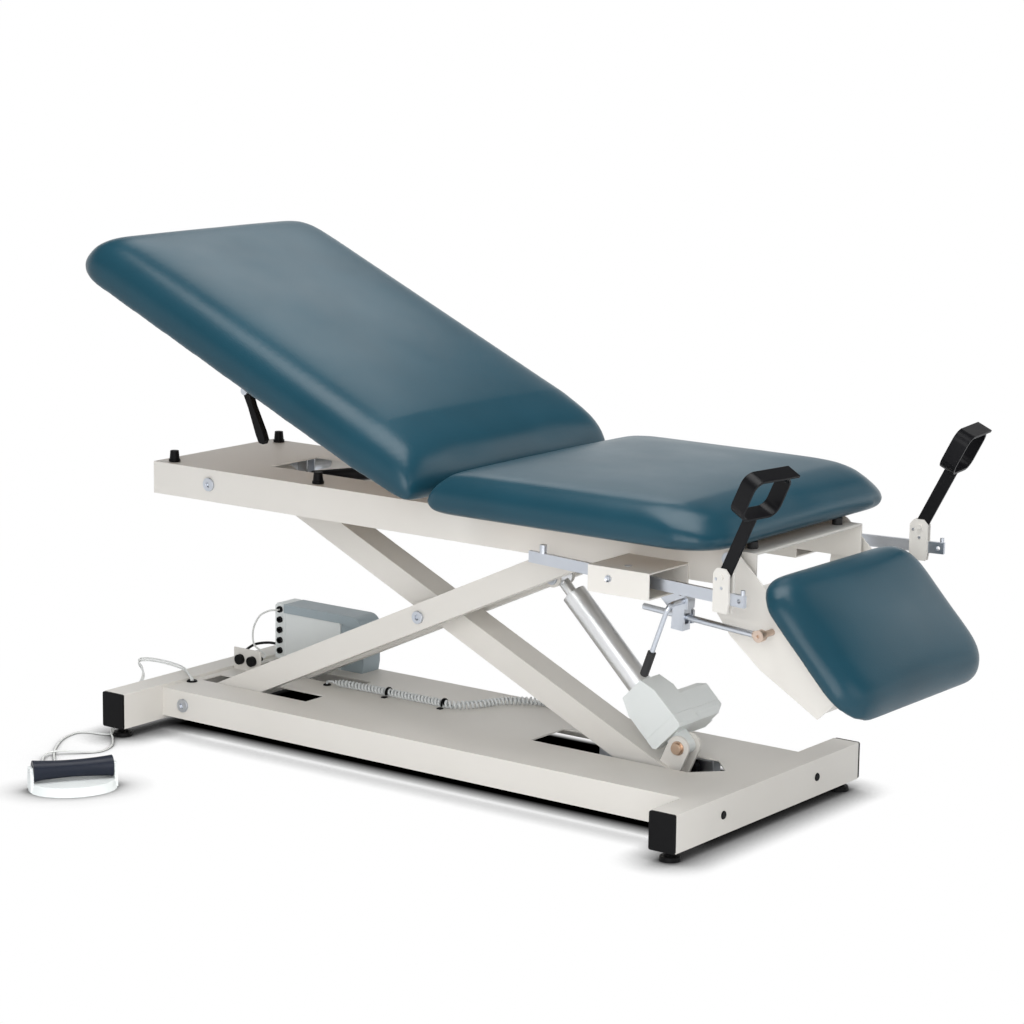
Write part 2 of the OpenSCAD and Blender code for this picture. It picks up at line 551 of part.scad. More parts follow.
// the hinge end is rounded off so that it swings past the seat; the head end bows out
module back_cushion() color(vinyl) on_back() difference() {
    translate([0, 0, -6]) cushion(back_x0, back_x1, pad_half, crease_r, back_r, 26,
        pad_steps(back_t, 10, [0, 12, 26, 34, 34], square_end));
    both() box(-60, 23, 154, 181, -30, 16);
}
module back_leaves() color(zinc) on_back() {
    both() difference() {
        union() {
            bar_y(0, 0, 11, 167, 173);
            box(0, 21, 167, 173, -9, 8);
            box(4, 90, 140, 173, -9, -6);
        }
        bar_y(0, 0, 6.05, 150, 190);
        box(-13, 13, 130, 166.9, -20, 20);
    }
    difference() {
        union() {
            box(60, 120, 40, 76, -9, -6);
            for (y = [44, 68]) {
                box(gas_pin[0] - 11, gas_pin[0] + 11, y, y + 4, gas_pin[1], -8);
                bar_y(gas_pin[0], gas_pin[1], 11, y, y + 4);
            }
            bar_y(gas_pin[0], gas_pin[1], 5, 44, 72);
        }
        box(0, 20, 40, 60, -2, 2);
    }
    difference() {
        union() {
            box(lever_pin[0] - 17, lever_pin[0] + 17, -304, -276, -9, -6);
            for (y = [-302, -282]) {
                box(lever_pin[0] - 8, lever_pin[0] + 8, y, y + 4, lever_pin[1], -8);
                bar_y(lever_pin[0], lever_pin[1], 8, y, y + 4);
            }
            bar_y(lever_pin[0], lever_pin[1], 4, -303, -277);
        }
        box(0, 20, 40, 60, -2, 2);
    }
}
module release_lever() color(black) on_back() translate([lever_pin[0], 0, lever_pin[1]])
    rotate([0, 138, 0]) difference() {
    union() {
        bar_y(0, 0, 8, -297.6, -282.4);
        slab_y(-297, -283) polygon([[0, -8], [34, -6], [90, -9], [106, -8], [112, 0], [106, 9], [90, 10],
            [34, 7], [0, 8]]);
    }
    bar_y(0, 0, 4.05, -310, -270);
}
module gas_cylinder() color(black) translate([gas_low[0], 58, gas_low[1]])
    rotate([0, -gas_tilt, 0]) difference() {
    union() {
        bar_y(0, 0, 11, -8, 8);
        translate([4, 0, 0]) rotate([0, 90, 0]) cylinder(r = 9, h = 20);
        translate([20, 0, 0]) rotate([0, 90, 0]) cylinder(r = 14, h = 330);
    }
    bar_y(0, 0, 5.05, -20, 20);
    translate([30, 0, 0]) rotate([0, 90, 0]) cylinder(r = 11, h = 400);
}
module gas_rod() color(zinc) translate([gas_up[0], 58, gas_up[1]]) rotate([0, -gas_tilt, 0]) difference() {
    union() {
        bar_y(0, 0, 10, -8, 8);
        translate([-200, 0, 0]) rotate([0, 90, 0]) cylinder(r = 5, h = 195);
    }
    bar_y(0, 0, 5.05, -20, 20);
}
// leg section axes: X down from its hinge, Z out of the upholstery
module leg_tray() color(beige) on_leg() difference() {
    union() {
        both() {
            slab_y(197, 200) polygon([[0, -22], [54, -87], [107, -92], [192, -81], [329, -40], [329, leg_web],
                [78, leg_web], [0, 22]]);
            bar_y(0, 0, 22, 197, 200);
        }
        box(78, 329, -198, 198, leg_web - 3, leg_web);
        box(326, 329, -198, 198, -20, leg_web - 1);
    }
    bar_y(0, 0, 8.05, -220, 220);
    bar_y(154, -13.7, 6.05, -220, -190);
}
module leg_board() color([0.5, 0.4, 0.3]) on_leg() translate([0, 0, leg_web])
    board(leg_x0, leg_x1, leg_half, leg_r, leg_r, 7.8);
module leg_cushion() color(vinyl) on_leg() translate([0, 0, leg_web])
    cushion(leg_x0, leg_x1, leg_half, leg_r, leg_r, 0, pad_steps(leg_t, 8, square_end, square_end));
// bolt on the leg section's plate that carries the support rod is part of the rod's node
module support_rod() color(zinc) {
    translate([rod_eye[0], -240, rod_eye[1]]) rotate([0, rod_drop, 0]) difference() {
        union() {
            bar_y(0, 0, 11, -7, 7);
            translate([-252, 0, 0]) rotate([0, 90, 0]) cylinder(r = 6, h = 244);
            bar_y(0, 0, 6, 7, 44);
        }
        bar_y(0, 0, 3, -20, -3);
    }
}
module clamp_block() color(zinc) translate([swivel[0], -240, swivel[1]])
    rotate([0, rod_drop, 0]) difference() {
    union() {
        box(-13, 13, -12, 12, -22, 24);
        bar_y(0, 0, 8, 11, 24);
        bar_y(0, 0, 12, 12, 14.6);
        box(-3, 19, -12, 12, 20, 34);
        bar_y(8, 34, 11, -12, 12);
    }
    box(-30, 30, -6.4, 6.4, -9.6, 9.6);
    bar_y(8, 34, 5.05, -30, 30);
}
// bent rod through the clamp's eye, with a grip on its end
module clamp_lever() color(zinc) translate([swivel[0], -240, swivel[1]]) rotate([0, rod_drop, 0]) {
    bend = 14;
    bar_y(8, 34, 5, -45, 14.6);
    bar_y(8, 34, 8, 12.3, 14.6);
    translate([8, -44, 34]) rotate([0, 180 + 16, 0]) {
        translate([0, 0, bend]) rotate([0, 90, 0]) rotate([0, 0, -90]) rotate_extrude(angle = 90)
            translate([bend, 0]) circle(r = 4.8);
        translate([0, -bend, bend - 1]) cylinder(r = 4.6, h = 90);
        translate([0, -bend, 98]) cylinder(r = 8, h = 46);
        translate([0, -bend, 144]) cylinder(r1 = 8, r2 = 6, h = 3);
    }
}
// stirrup axes: X along the bar from its swivel, heights as the table's
module guide() difference() {
    union() {
        box(-24, 24, -13, 13, 485, 525);
        translate([0, 0, 479]) cylinder(r = 7, h = 8);
        translate([0, 0, 523]) cylinder(r = 7, h = 8);
    }
    box(-40, 40, -4.2, 4.2, 497.8, 520.2);
}
module stirrup_bar() {
    difference() {
        box(-252, 281, -4, 4, 498, 520);
        translate([270, 0, 509]) rotate([90, 0, 0]) cylinder(r = 4, h = 20, center = true);
    }
    translate([-217, 0, 519]) cylinder(r = 7, h = 17);
    translate([276, 0, 519]) cylinder(r = 4, h = 10);
    // the two plates that hold the arm
    for (y = [-8, 4]) slab_y(y, y + 4)
        polygon([[212, 482], [246, 482], [249, 500], [249, 552], [240, 562], [220, 562], [212, 552]]);
    bar_y(232, 548, 5, -11, 11);
}
module stirrup_arm(yaw, lip) translate([232, 0, 548]) rotate([0, 26.6, 0]) {
    difference() {
        union() {
            box(-12.5, 12.5, -3, 3, 0, 136);
            bar_y(0, 0, 12.5, -3, 3);
        }
        bar_y(0, 0, 5.05, -20, 20);
    }
    translate([0, 0, 133]) rotate([0, 0, yaw]) translate([-16, 0, 0]) rotate([90, 0, 90]) linear_extrude(32) {
        difference() {
            polygon(round_rect(-50, 50, 0, 85, 22, 22, 5));
            polygon(round_rect(-45, 45, 5, 80, 17, 17, 5));
        }
        // the strap's end runs straight on past one corner
        polygon([[lip * 26, 80], [lip * 66, 80], [lip * 66, 85], [lip * 26, 85]]);
    }
}
module guide_near() color(zinc) on_bar() guide();
module bar_near() color(zinc) on_bar() stirrup_bar();
module arm_near() color(black) on_bar() stirrup_arm(near_yaw, 1);
module guide_far() color(zinc) mirror([0, 1, 0]) on_bar() guide();
module bar_far() color(zinc) mirror([0, 1, 0]) on_bar() translate([far_out, 0, 0]) stirrup_bar();
module arm_far() color(black) mirror([0, 1, 0]) on_bar() translate([far_out, 0, 0]) stirrup_arm(far_yaw, -1);

head_crossbar();
foot_crossbar();
crossbar_caps();
levelling_feet();
base_pan();
base_tracks();
base_axle();
control_case();
control_lid();
control_sockets();
connector_bracket();
connector_plugs();
motor_cord();
cord_clips();
link_lead();
control_cord();
pedal_cord();
pedal_cord_b();
pedal_base();
pedal_roller();
outer_legs();
upper_axle();
centre_bolt();
upper_rollers();
inner_leg();
lower_axle();
lower_rollers();
gear_housing();
motor_cover();
actuator_tube();
actuator_rod();
top_pan();
top_tracks();
top_axle();
back_bumpers();
seat_spacers();
seat_board();
seat_cushion();
hinge_brackets();
stirrup_boxes();
clamp_bracket();
leg_hinge_bolts();
back_board();
back_cushion();
back_leaves();
release_lever();
gas_cylinder();
gas_rod();
leg_tray();
leg_board();
leg_cushion();
support_rod();
clamp_block();
clamp_lever();
guide_near();
bar_near();
arm_near();
guide_far();
bar_far();
arm_far();
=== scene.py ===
import json
import math

import bmesh
import bpy
from mathutils import Matrix, Vector


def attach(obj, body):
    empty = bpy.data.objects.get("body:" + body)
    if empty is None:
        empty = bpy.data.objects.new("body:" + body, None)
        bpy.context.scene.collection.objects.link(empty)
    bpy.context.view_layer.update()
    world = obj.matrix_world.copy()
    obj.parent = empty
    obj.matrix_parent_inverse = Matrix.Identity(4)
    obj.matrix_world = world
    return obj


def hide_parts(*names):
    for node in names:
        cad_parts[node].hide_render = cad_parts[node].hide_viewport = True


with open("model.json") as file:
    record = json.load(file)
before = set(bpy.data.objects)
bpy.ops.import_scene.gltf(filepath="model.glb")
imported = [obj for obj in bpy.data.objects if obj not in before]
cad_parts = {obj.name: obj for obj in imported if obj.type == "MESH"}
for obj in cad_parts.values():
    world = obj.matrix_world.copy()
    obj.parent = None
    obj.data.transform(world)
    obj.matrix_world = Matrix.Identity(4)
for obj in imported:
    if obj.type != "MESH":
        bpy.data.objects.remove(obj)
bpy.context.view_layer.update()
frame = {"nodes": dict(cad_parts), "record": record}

scene = bpy.context.scene
scene.view_settings.view_transform = "Standard"

# Camera: a long lens at standing height, off the foot end on the near side.
# Its angle, roll and small shift are those of the photograph's own frame.
camera_at = Vector((3.6025, -4.7242, 1.6503))
azimuth, elevation, roll = math.radians(36.443), math.radians(10.643), math.radians(0.825)
frame_px = 1024
focal_px = 3016
centre_px = (7.8, -7.4)
back = Vector((math.sin(azimuth) * math.cos(elevation), -math.cos(azimuth) * math.cos(elevation),
               math.sin(elevation)))
level = Vector((math.cos(azimuth), math.sin(azimuth), 0))
rise = back.cross(level)
right = level * math.cos(roll) + rise * math.sin(roll)
up = rise * math.cos(roll) - level * math.sin(roll)
lens = bpy.data.cameras.new("camera")
lens.sensor_width = 36
lens.lens = lens.sensor_width * focal_px / frame_px
lens.shift_x = -centre_px[0] / frame_px
lens.shift_y = centre_px[1] / frame_px
camera = bpy.data.objects.new("camera", lens)
camera.matrix_world = Matrix((right, up, back)).transposed().to_4x4()
camera.location = camera_at
scene.collection.objects.link(camera)
scene.camera = camera

# Studio: a large soft box beside the camera and one overhead, with weak ones off the foot end, behind the
# leg section and on the far side. The camera sees the room as white, and so do shiny things where they
# mirror the low backdrop.
room_strength, dim_strength = 0.52, 0.12
backdrop_top, backdrop_white = 0.5, 0.15
for name, place, aim, size, power in (
        ("key_light", (2.0, -3.6, 1.6), (0, 0, 0.4), 2.8, 85),
        ("top_light", (0.3, -0.4, 3.6), (0, 0, 0.5), 2.4, 95),
        ("foot_light", (4.0, -0.6, 1.8), (0.2, 0, 0.4), 1.8, 12),
        ("leg_light", (1.6, 2.1, 1.6), (0.95, 0, 0.45), 0.9, 3.5),
        ("far_light", (-2.1, 2.8, 3.6), (-0.4, 0, 0.7), 1.8, 20)):
    lamp = bpy.data.lights.new(name, "AREA")
    lamp.size = size
    lamp.energy = power
    holder = bpy.data.objects.new(name, lamp)
    holder.location = place
    holder.rotation_euler = (Vector(place) - Vector(aim)).to_track_quat("Z", "Y").to_euler()
    scene.collection.objects.link(holder)

world = bpy.data.worlds.new("studio")
scene.world = world
world.use_nodes = True
tree = world.node_tree
room = tree.nodes["Background"]
room.inputs["Color"].default_value = (0.95, 0.97, 1, 1)
room.inputs["Strength"].default_value = room_strength
white = tree.nodes.new("ShaderNodeBackground")
white.inputs["Color"].default_value = (1, 1, 1, 1)
dim = tree.nodes.new("ShaderNodeBackground")
dim.inputs["Strength"].default_value = dim_strength
rays = tree.nodes.new("ShaderNodeLightPath")
mirrored = tree.nodes.new("ShaderNodeMath")
mirrored.operation = "MAXIMUM"
tree.links.new(rays.outputs["Is Glossy Ray"], mirrored.inputs[0])
tree.links.new(rays.outputs["Is Transmission Ray"], mirrored.inputs[1])
way = tree.nodes.new("ShaderNodeTexCoord")
parts = tree.nodes.new("ShaderNodeSeparateXYZ")
tree.links.new(way.outputs["Generated"], parts.inputs[0])
backdrop = tree.nodes.new("ShaderNodeMapRange")
backdrop.interpolation_type = "SMOOTHSTEP"
backdrop.inputs["From Min"].default_value = backdrop_top
backdrop.inputs["From Max"].default_value = backdrop_white
tree.links.new(parts.outputs["Z"], backdrop.inputs["Value"])
sweep = tree.nodes.new("ShaderNodeMixShader")
tree.links.new(backdrop.outputs["Result"], sweep.inputs["Fac"])
tree.links.new(dim.outputs[0], sweep.inputs[1])
tree.links.new(white.outputs[0], sweep.inputs[2])
shiny = tree.nodes.new("ShaderNodeMixShader")
tree.links.new(mirrored.outputs[0], shiny.inputs["Fac"])
tree.links.new(room.outputs[0], shiny.inputs[1])
tree.links.new(sweep.outputs[0], shiny.inputs[2])
choose = tree.nodes.new("ShaderNodeMixShader")
tree.links.new(rays.outputs["Is Camera Ray"], choose.inputs["Fac"])
tree.links.new(shiny.outputs[0], choose.inputs[1])
tree.links.new(white.outputs[0], choose.inputs[2])
tree.links.new(choose.outputs[0], tree.nodes["World Output"].inputs["Surface"])

# Floor: a plain white studio sweep, which the camera sees as a white glow but for painted shade close under
# things, where ambient occlusion dims the glow. Under the base pan, and a little past its far side, a mask
# paints it dark as shade; away from the table it thins out into the white of the room, and from below it
# can't be seen.
floor_half, floor_tone = 7, 0.85
# Bounds of the painted shade under the pan: axis, outward sign, where it is fully dark and where fully lit.
painted_shade_under_pan = (("X", 1, 0.66, 0.72), ("X", -1, 0.66, 0.72), ("Y", -1, 0.15, 0.215), ("Y", 1, 0.265, 0.3))
fade_from, fade_to = 1.5, 4.5
shade_reach, shade_depth = 0.08, 2.5
bm = bmesh.new()
bmesh.ops.create_grid(bm, x_segments=1, y_segments=1, size=floor_half)
floor_mesh = bpy.data.meshes.new("floor")
bm.to_mesh(floor_mesh)
bm.free()
floor = bpy.data.objects.new("floor", floor_mesh)
scene.collection.objects.link(floor)
floor_paint = bpy.data.materials.new("floor_paint")
floor_paint.use_nodes = True
tree = floor_paint.node_tree
matt = tree.nodes["Principled BSDF"]
matt.inputs["Base Color"].default_value = (floor_tone, floor_tone, floor_tone, 1)
matt.inputs["Roughness"].default_value = 0.9
matt.inputs["Specular IOR Level"].default_value = 0
rays = tree.nodes.new("ShaderNodeLightPath")
shade = tree.nodes.new("ShaderNodeAmbientOcclusion")
shade.samples = 8
shade.inputs["Distance"].default_value = shade_reach
deepen = tree.nodes.new("ShaderNodeMath")
deepen.operation = "POWER"
deepen.inputs[1].default_value = shade_depth
open_floor = tree.nodes.new("ShaderNodeMath")
open_floor.operation = "SUBTRACT"
open_floor.inputs[0].default_value = 1
seen_floor = tree.nodes.new("ShaderNodeMath")
seen_floor.operation = "MULTIPLY"
glow = tree.nodes.new("ShaderNodeEmission")
look = tree.nodes.new("ShaderNodeMixShader")
place = tree.nodes.new("ShaderNodeTexCoord")
reach = tree.nodes.new("ShaderNodeVectorMath")
reach.operation = "LENGTH"
fade = tree.nodes.new("ShaderNodeMapRange")
fade.interpolation_type = "SMOOTHSTEP"
fade.inputs["From Min"].default_value = fade_from
fade.inputs["From Max"].default_value = fade_to
side = tree.nodes.new("ShaderNodeNewGeometry")
gone = tree.nodes.new("ShaderNodeMath")
gone.operation = "MAXIMUM"
clear = tree.nodes.new("ShaderNodeBsdfTransparent")
thin = tree.nodes.new("ShaderNodeMixShader")
tree.links.new(shade.outputs["AO"], deepen.inputs[0])
split = tree.nodes.new("ShaderNodeSeparateXYZ")
tree.links.new(place.outputs["Object"], split.inputs[0])
painted_shade_mask = None
for axis, outward, dark, lit in painted_shade_under_pan:
    away = tree.nodes.new("ShaderNodeMath")
    away.operation = "MULTIPLY"
    away.inputs[1].default_value = outward
    inside = tree.nodes.new("ShaderNodeMapRange")
    inside.interpolation_type = "SMOOTHSTEP"
    inside.inputs["From Min"].default_value = lit
    inside.inputs["From Max"].default_value = dark
    tree.links.new(split.outputs[axis], away.inputs[0])
    tree.links.new(away.outputs[0], inside.inputs["Value"])
    if painted_shade_mask:
        joined = tree.nodes.new("ShaderNodeMath")
        joined.operation = "MULTIPLY"
        tree.links.new(painted_shade_mask, joined.inputs[0])
        tree.links.new(inside.outputs["Result"], joined.inputs[1])
        painted_shade_mask = joined.outputs[0]
    else:
        painted_shade_mask = inside.outputs["Result"]
tree.links.new(painted_shade_mask, open_floor.inputs[1])
tree.links.new(open_floor.outputs[0], seen_floor.inputs[0])
tree.links.new(deepen.outputs[0], seen_floor.inputs[1])
tree.links.new(seen_floor.outputs[0], glow.inputs["Strength"])
tree.links.new(rays.outputs["Is Camera Ray"], look.inputs["Fac"])
tree.links.new(matt.outputs[0], look.inputs[1])
tree.links.new(glow.outputs[0], look.inputs[2])
tree.links.new(place.outputs["Object"], reach.inputs[0])
tree.links.new(reach.outputs["Value"], fade.inputs["Value"])
tree.links.new(fade.outputs["Result"], gone.inputs[0])
tree.links.new(side.outputs["Backfacing"], gone.inputs[1])
tree.links.new(gone.outputs[0], thin.inputs["Fac"])
tree.links.new(look.outputs[0], thin.inputs[1])
tree.links.new(clear.outputs[0], thin.inputs[2])
tree.links.new(thin.outputs[0], tree.nodes["Material Output"].inputs["Surface"])
floor_mesh.materials.append(floor_paint)

# Curled motor cord: grey PVC wire wound like a telephone cord, clipped down on the base pan.
# It rises out of one grommet, runs along the pan, turns to the far side and goes down a second one.
MM = 0.001


def smooth_route(points, steps):
    """Points of one smooth line through given ones, in millimetres."""
    route = []
    for i in range(len(points) - 1):
        a, b = Vector(points[max(i - 1, 0)]), Vector(points[i])
        c, d = Vector(points[i + 1]), Vector(points[min(i + 2, len(points) - 1)])
        for k in range(steps):
            t = k / steps
            route.append(0.5 * (2 * b + (c - a) * t + (2 * a - 5 * b + 4 * c - d) * t ** 2
                                + (3 * b - a - 3 * c + d) * t ** 3))
    return route + [Vector(points[-1])]


def lay_cord(name, node, route, radius, material):
    """A cord fixed in the base at both ends: one open curve along a route in millimetres, filled round."""
    data = bpy.data.curves.new(name, "CURVE")
    data.dimensions = "3D"
    data.bevel_depth = radius * MM
    data.bevel_resolution = 4
    data.use_fill_caps = True
    line = data.splines.new("POLY")
    line.points.add(len(route) - 1)
    for point, place in zip(line.points, route):
        point.co = (*(place * MM), 1)
    line.use_smooth = True
    data.materials.append(material)
    piece = bpy.data.objects.new(name, data)
    scene.collection.objects.link(piece)
    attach(piece, "base")
    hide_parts(node)


def shaded(name, colour, roughness, metallic=0.0, gloss=0.5):
    """A new node material with its plain values on the shader's own sockets."""
    material = bpy.data.materials.new(name)
    material.use_nodes = True
    shader = material.node_tree.nodes["Principled BSDF"]
    shader.inputs["Base Color"].default_value = (*colour, 1)
    shader.inputs["Roughness"].default_value = roughness
    shader.inputs["Metallic"].default_value = metallic
    shader.inputs["Specular IOR Level"].default_value = gloss
    return material


roughness_swing = 0.16


def mottle_group():
    """Shared effect: soft blotches that lighten and darken a colour, with a fine grain beside them."""
    group = bpy.data.node_groups.new("mottle", "ShaderNodeTree")
    face = group.interface
    face.new_socket("Colour", in_out="INPUT", socket_type="NodeSocketColor")
    face.new_socket("Colour", in_out="OUTPUT", socket_type="NodeSocketColor")
    for label in ("Blotch Size", "Grain Size", "Depth", "Base Roughness"):
        face.new_socket(label, in_out="INPUT", socket_type="NodeSocketFloat")
    for label in ("Roughness", "Height"):
        face.new_socket(label, in_out="OUTPUT", socket_type="NodeSocketFloat")
    nodes, links = group.nodes, group.links
    given, put = nodes.new("NodeGroupInput"), nodes.new("NodeGroupOutput")
    place = nodes.new("ShaderNodeTexCoord")
    blotch, grain = nodes.new("ShaderNodeTexNoise"), nodes.new("ShaderNodeTexNoise")
    blotch.inputs["Detail"].default_value = 4
    grain.inputs["Detail"].default_value = 2
    for noise, size in ((blotch, "Blotch Size"), (grain, "Grain Size")):
        links.new(place.outputs["Object"], noise.inputs["Vector"])
        links.new(given.outputs[size], noise.inputs["Scale"])
    shade = nodes.new("ShaderNodeMix")
    shade.data_type = "RGBA"
    shade.blend_type = "SOFT_LIGHT"
    links.new(given.outputs["Depth"], shade.inputs["Factor"])
    links.new(given.outputs["Colour"], shade.inputs["A"])
    swing = nodes.new("ShaderNodeMath")
    swing.operation = "MULTIPLY_ADD"
    links.new(blotch.outputs["Fac"], swing.inputs[0])
    swing.inputs[1].default_value = roughness_swing
    links.new(given.outputs["Base Roughness"], swing.inputs[2])
    grey = nodes.new("ShaderNodeRGBToBW")
    links.new(blotch.outputs["Color"], grey.inputs["Color"])
    links.new(grey.outputs["Val"], shade.inputs["B"])
    links.new(shade.outputs["Result"], put.inputs["Colour"])
    links.new(swing.outputs[0], put.inputs["Roughness"])
    links.new(grain.outputs["Fac"], put.inputs["Height"])
    return group


mottle = mottle_group()


def add_mottle(material, blotch, grain, depth, bump, reach):
    """Places the shared mottle in a material, with its grain as a bump of the given reach in metres."""
    tree = material.node_tree
    shader = tree.nodes["Principled BSDF"]
    effect = tree.nodes.new("ShaderNodeGroup")
    effect.node_tree = mottle
    effect.inputs["Colour"].default_value = shader.inputs["Base Color"].default_value
    effect.inputs["Blotch Size"].default_value = blotch
    effect.inputs["Grain Size"].default_value = grain
    effect.inputs["Depth"].default_value = depth
    middle = shader.inputs["Roughness"].default_value
    effect.inputs["Base Roughness"].default_value = middle - roughness_swing / 2
    raised = tree.nodes.new("ShaderNodeBump")
    raised.inputs["Strength"].default_value = bump
    raised.inputs["Distance"].default_value = reach
    tree.links.new(effect.outputs["Colour"], shader.inputs["Base Color"])
    tree.links.new(effect.outputs["Roughness"], shader.inputs["Roughness"])
    tree.links.new(effect.outputs["Height"], raised.inputs["Height"])
    tree.links.new(raised.outputs["Normal"], shader.inputs["Normal"])
    return material


curls, curl_radius, wire_radius = 64, 6, 2.5
curl_points, run_in = 20, 3
motor_route = smooth_route([(-396, 28, 99), (-330, 33, 99), (-230, 35, 99), (-130, 35, 99), (-76, 38, 99),
                            (-40, 78, 99), (-16, 130, 99), (30, 168, 99), (100, 182, 99)], steps=24)
straight_up = Vector((0, 0, 1))
reached = [0]
for a, b in zip(motor_route, motor_route[1:]):
    reached.append(reached[-1] + (b - a).length)
curl_line = []
for i in range(curls * curl_points + 1):
    share = i / (curls * curl_points)
    gone_by = reached[-1] * share
    k = next((j for j in range(len(reached) - 2) if reached[j + 1] >= gone_by), len(reached) - 2)
    step = motor_route[k + 1] - motor_route[k]
    spot = motor_route[k] + step * ((gone_by - reached[k]) / step.length)
    side = straight_up.cross(step).normalized()
    grow = min(1, i / curl_points / run_in, (curls - i / curl_points) / run_in)
    turn = math.radians(360 * i / curl_points - 90)
    curl_line.append(spot + curl_radius * grow * (math.cos(turn) * side + math.sin(turn) * straight_up))
first_grommet = [Vector(p) for p in ((-406, 27, 91.2), (-406, 27, 96.4), (-402, 27.5, 98.6))]
second_grommet = [Vector(p) for p in ((106, 183, 98.6), (110, 183.5, 96.4), (110, 183.5, 91.2))]
wire_line = first_grommet + curl_line + second_grommet
cord_grey = add_mottle(shaded("cord_grey", (0.64, 0.66, 0.66), 0.42),
                       blotch=30, grain=900, depth=0.25, bump=0.15, reach=0.0004)
lay_cord("curled_motor_cord", "motor_cord", wire_line, wire_radius, cord_grey)

# Short leads of the control box: a black link from its gland and a white one from its top socket.
# Both bow out past the head end of the box and go into the plugs on the small bracket.
black_pvc = add_mottle(shaded("black_pvc", (0.01, 0.01, 0.011), 0.45, gloss=0.3),
                       blotch=40, grain=900, depth=0.2, bump=0.15, reach=0.0004)
white_pvc = add_mottle(shaded("white_pvc", (0.72, 0.73, 0.71), 0.4),
                       blotch=40, grain=900, depth=0.2, bump=0.15, reach=0.0004)
link_line = smooth_route([(-655, 172, 112), (-668, 171, 113), (-686, 158, 116), (-698, 130, 116),
                          (-699, 104, 110), (-690, 84, 107), (-668, 76, 108), (-647, 70, 112),
                          (-637, 57, 114), (-636, 40.2, 114)], steps=10)
control_line = smooth_route([(-641, 150, 200), (-641, 134, 200), (-652, 122, 199), (-670, 112, 187),
                             (-675, 98, 164), (-666, 84, 144), (-650, 72, 131), (-630, 66, 125),
                             (-611, 61, 119), (-603, 52, 115), (-602, 40.2, 114)], steps=10)
link_radius, control_radius = 3, 2
lay_cord("black_link_lead", "link_lead", link_line, link_radius, black_pvc)
lay_cord("white_control_lead", "control_cord", control_line, control_radius, white_pvc)

# Foot control leads: two thin white wires that leave the pan's grommet side by side.
# They drop over the head crossbar, spread into loose loops on the floor and end in the foot control.
foot_lead_radius = 1.9
twin = [(-646, -130, 88), (-646, -130, 96), (-664, -122, 101), (-700, -100, 101), (-740, -94, 104),
        (-790, -98, 106), (-818, -108, 104), (-806, -126, 101), (-770, -154, 100), (-732, -190, 94),
        (-724, -228, 62), (-724, -262, 26), (-722, -290, 8)]
beside = ([(0, -5, 0)] * 2 + [(0, -3.6, 3.6)] + [(0, 0, 5)] * 6
          + [(-3.6, 0, 3.6), (-5, 0, 0), (-5, 0, 0), (-5, 0, 2)])
first_loop = [(-708, -312, 2.4), (-722, -326, 2.1), (-752, -334, 2.1), (-770, -352, 2.1), (-760, -400, 2.1),
              (-726, -455, 2.1), (-690, -498, 2.1), (-640, -545, 2.1), (-580, -590, 2.4), (-536, -602, 6),
              (-517, -613, 9), (-498.4, -626, 9)]
second_loop = [(-704, -318, 7), (-672, -346, 4), (-640, -384, 2.2), (-630, -428, 2.2), (-654, -462, 4),
               (-682, -490, 7), (-690, -520, 6), (-664, -556, 2.4), (-610, -596, 2.4), (-556, -618, 6),
               (-530.8, -633, 9), (-512, -646, 9)]
shifted = [tuple(a + b for a, b in zip(point, shift)) for point, shift in zip(twin, beside)]
for name, node, points in (("foot_control_lead", "pedal_cord", twin + first_loop),
                           ("foot_control_lead_b", "pedal_cord_b", shifted + second_loop)):
    route = smooth_route(points, steps=8)
    lay_cord(name, node, route, foot_lead_radius, white_pvc)

# Base crossbars, pan and bracket: welded steel tube and folded sheet in a warm off-white powder coat.
# Paint rounds their edges, so each is the construction's own shape with its edges broken.
body_of = {node: body for body, nodes in frame["record"]["behaviour"]["bodies"].items() for node in nodes}
crease, shaded_sharp, flat = math.radians(35), math.radians(40), math.radians(0.5)
same_spot = 1e-5


def stand_in(piece, node):
    """Puts a piece in a construction node's place: same body, node hidden."""
    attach(piece, body_of[node])
    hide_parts(node)


def edged(node, edge, material, steps=2):
    """A construction piece with its sharp edges broken to a small radius, in millimetres."""
    bm = bmesh.new()
    bm.from_mesh(frame["nodes"][node].data)
    bmesh.ops.remove_doubles(bm, verts=bm.verts, dist=same_spot)
    bmesh.ops.dissolve_limit(bm, angle_limit=flat, verts=bm.verts, edges=bm.edges)
    sharp = [e for e in bm.edges if len(e.link_faces) == 2 and e.calc_face_angle(0) > crease]
    bmesh.ops.bevel(bm, geom=sharp, offset=edge * MM, offset_type="OFFSET", affect="EDGES", segments=steps,
                    profile=0.5, clamp_overlap=True, material=-1)
    mesh = bpy.data.meshes.new(node + "_finished")
    bm.to_mesh(mesh)
    bm.free()
    mesh.shade_smooth()
    mesh.set_sharp_from_angle(angle=shaded_sharp)
    mesh.materials.append(material)
    piece = bpy.data.objects.new(node + "_finished", mesh)
    scene.collection.objects.link(piece)
    even = piece.modifiers.new("even_normals", "WEIGHTED_NORMAL")
    even.keep_sharp = True
    even.weight = 100
    stand_in(piece, node)


powder_coat = add_mottle(shaded("powder_coat", (0.70, 0.675, 0.63), 0.46),
                         blotch=5, grain=700, depth=0.16, bump=0.12, reach=0.0006)
for node, edge in (("head_crossbar", 3), ("foot_crossbar", 3), ("base_pan", 1.2),
                   ("connector_bracket", 0.8)):
    edged(node, edge, powder_coat)

